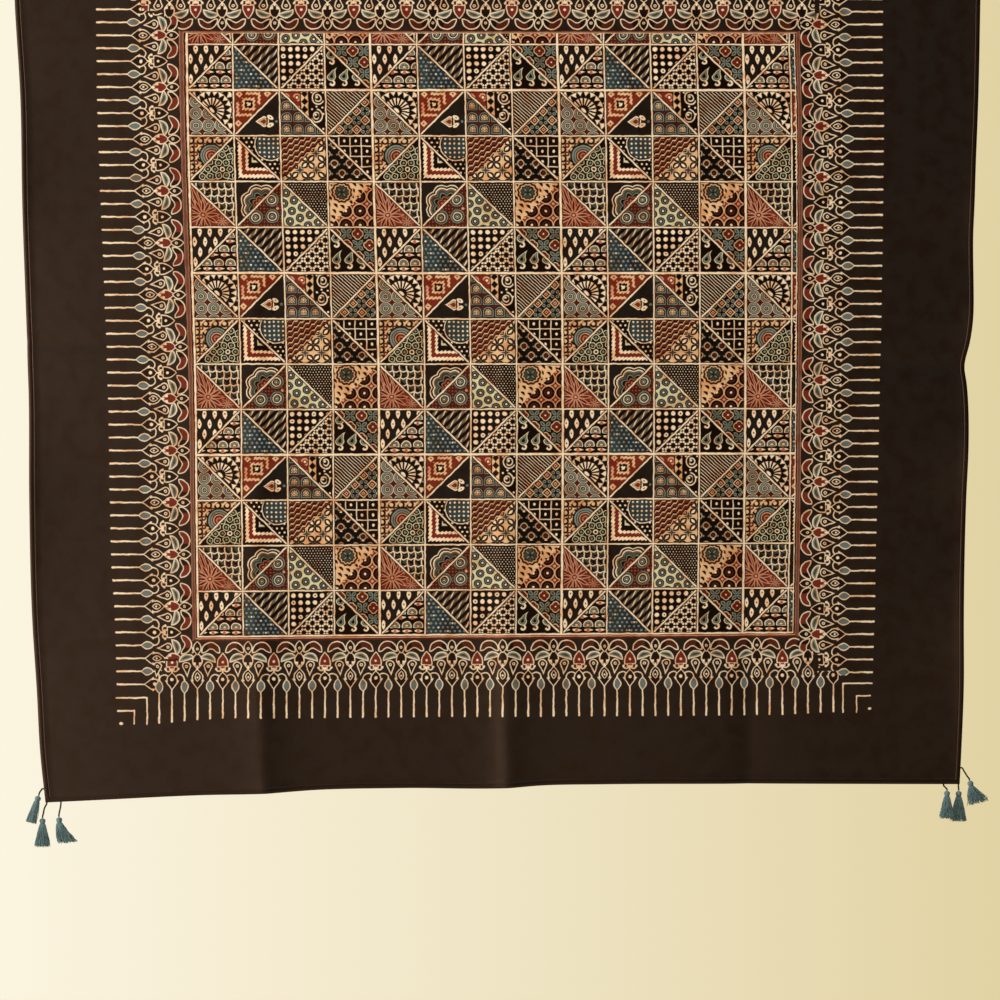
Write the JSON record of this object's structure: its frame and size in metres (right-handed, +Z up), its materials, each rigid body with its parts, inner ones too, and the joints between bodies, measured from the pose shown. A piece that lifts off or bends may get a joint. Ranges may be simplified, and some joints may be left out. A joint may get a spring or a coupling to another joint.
{
  "type": "hanging ajrakh block-printed cotton cloth with corner tassels",
  "caption": "Square dark cotton cloth hung by its top edge, with a printed patchwork field, spear border, pressed creases, rolled hem and tassels on short cords at its corners",
  "frame": {"origin": "middle of the cloth's top edge, where it is held", "axes": "+Z up along the cloth, +X to the right of the printed face, the printed face looks along -Y"},
  "size_m": [1.0501, 0.0253, 1.0357],
  "materials": {
    "cloth": "plain-weave cotton, resist and mordant block printed, brown-black ground",
    "cord": "twisted dark cotton cord",
    "tassel": "cut teal cotton thread"
  },
  "bodies": {
    "root": {"cloth": "cloth", "tassel_cord_bottom_left_side": "cord", "tassel_cord_bottom_left_corner": "cord", "tassel_cord_bottom_left_hem": "cord", "tassel_cord_bottom_right_side": "cord", "tassel_cord_bottom_right_corner": "cord", "tassel_cord_bottom_right_hem": "cord", "tassel_cord_top_left_side": "cord", "tassel_cord_top_left_corner": "cord", "tassel_cord_top_left_hem": "cord", "tassel_cord_top_right_side": "cord", "tassel_cord_top_right_corner": "cord", "tassel_cord_top_right_hem": "cord", "tassel_bottom_left_side": "tassel", "tassel_bottom_left_corner": "tassel", "tassel_bottom_left_hem": "tassel", "tassel_bottom_right_side": "tassel", "tassel_bottom_right_corner": "tassel", "tassel_bottom_right_hem": "tassel", "tassel_top_left_side": "tassel", "tassel_top_left_corner": "tassel", "tassel_top_left_hem": "tassel", "tassel_top_right_side": "tassel", "tassel_top_right_corner": "tassel", "tassel_top_right_hem": "tassel"}
  },
  "joints": []
}
